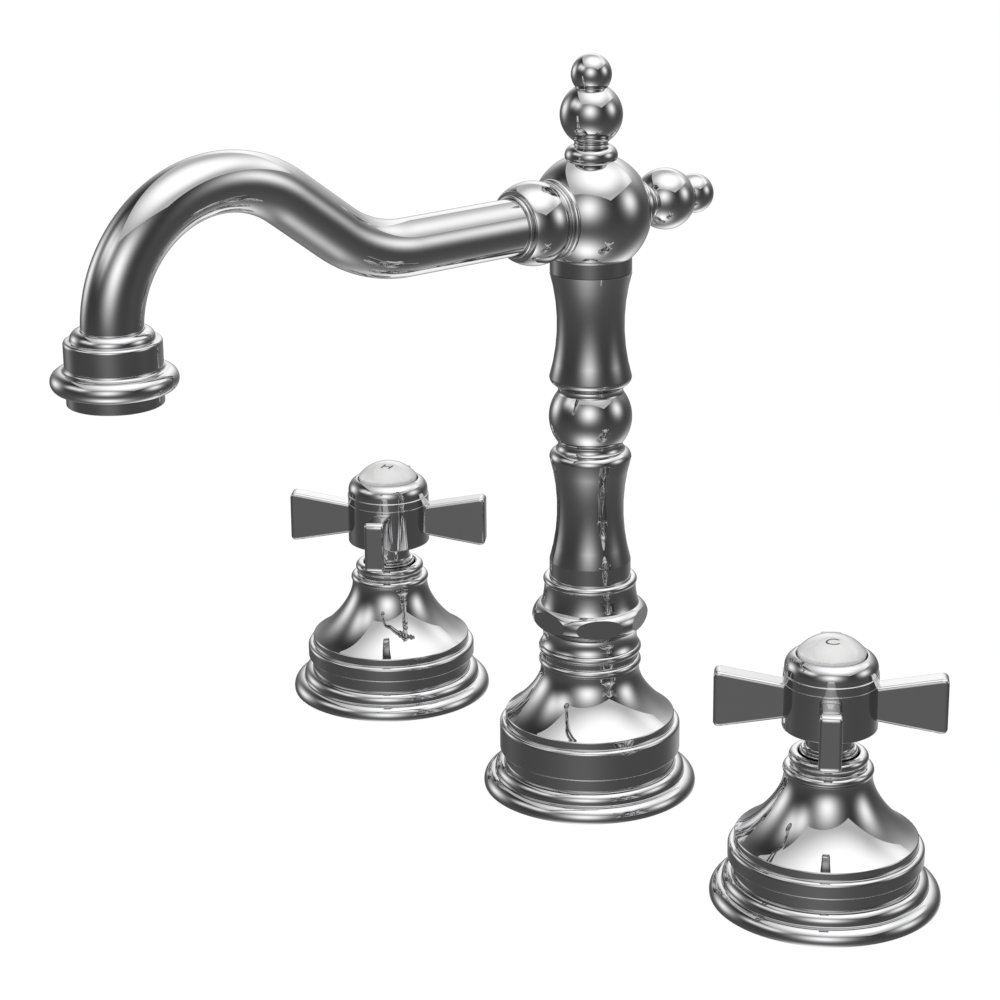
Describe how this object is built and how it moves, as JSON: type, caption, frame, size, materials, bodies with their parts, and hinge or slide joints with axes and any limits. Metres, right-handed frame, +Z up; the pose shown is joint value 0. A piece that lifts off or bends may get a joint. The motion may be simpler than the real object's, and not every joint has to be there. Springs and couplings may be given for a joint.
{
  "type": "widespread bathroom mixer faucet",
  "caption": "Widespread deck faucet in polished chrome: a turned column with a swivelling gooseneck spout, between hot and cold cross-handle valves on bell-shaped flanges.",
  "frame": {"origin": "on the spout column's axis, at the deck face under its flange", "axes": "+Z up, the spout points to -Y, the hot valve is on -X and the cold valve on +X"},
  "size_m": [0.2678, 0.2229, 0.2998],
  "materials": {
    "chrome_plate": "polished chrome plate on brass",
    "brass": "bare turned brass",
    "stainless_steel": "plain stainless steel",
    "rubber": "black moulded rubber",
    "fibre": "red fibre sheet",
    "acetal": "white moulded acetal",
    "copper": "drawn copper",
    "alumina": "lapped alumina ceramic",
    "porcelain": "glazed white porcelain"
  },
  "bodies": {
    "stand": {"spout_flange": "chrome_plate", "spout_bell": "chrome_plate", "spout_shank": "brass", "spout_inlet_tee": "brass", "union_nut": "chrome_plate", "riser_seal": "fibre", "column_riser": "brass", "column_lower_sleeve": "chrome_plate", "column_ball": "chrome_plate", "column_upper_sleeve": "chrome_plate", "swivel_washer": "acetal", "swivel_rings": "rubber", "deck_gaskets": "rubber", "clamp_washers": "stainless_steel", "mounting_nuts": "brass", "lock_nuts": "brass", "hot_link_pipe": "copper", "cold_link_pipe": "copper", "link_nuts": "brass", "hot_flange": "chrome_plate", "hot_bell": "chrome_plate", "hot_valve_body": "brass", "hot_seat_seal": "rubber", "hot_headwork": "brass", "hot_fixed_disc": "alumina", "cold_flange": "chrome_plate", "cold_bell": "chrome_plate", "cold_valve_body": "brass", "cold_seat_seal": "rubber", "cold_headwork": "brass", "cold_fixed_disc": "alumina"},
    "swing_spout": {"spout_hub": "chrome_plate", "swivel_collar": "chrome_plate", "swivel_grub_screw": "stainless_steel", "top_finial": "chrome_plate", "rear_finial": "chrome_plate", "spout_union": "chrome_plate", "spout_union_seal": "rubber", "spout_tube": "chrome_plate", "outlet_collar": "chrome_plate", "aerator_housing": "chrome_plate", "aerator_insert": "acetal", "aerator_gasket": "rubber", "aerator_filter": "stainless_steel"},
    "hot_control": {"hot_turning_disc": "alumina", "hot_spindle": "brass", "hot_spindle_ring": "rubber", "hot_handle": "chrome_plate", "hot_handle_screw": "stainless_steel", "hot_index_cap": "chrome_plate", "hot_index_button": "porcelain"},
    "cold_control": {"cold_turning_disc": "alumina", "cold_spindle": "brass", "cold_spindle_ring": "rubber", "cold_handle": "chrome_plate", "cold_handle_screw": "stainless_steel", "cold_index_cap": "chrome_plate", "cold_index_button": "porcelain"}
  },
  "joints": [
    {"name": "spout_swivel", "type": "hinge", "parent": "stand", "child": "swing_spout", "pos_m": [0, 0, 0.178], "axis": [0, 0, 1], "range_deg": [-75, 75]},
    {"name": "hot_handle_turn", "type": "hinge", "parent": "stand", "child": "hot_control", "pos_m": [-0.1016, 0, 0.0594], "axis": [0, 0, 1], "range_deg": [0, 90]},
    {"name": "cold_handle_turn", "type": "hinge", "parent": "stand", "child": "cold_control", "pos_m": [0.1016, 0, 0.0594], "axis": [0, 0, 1], "range_deg": [-90, 0]}
  ]
}
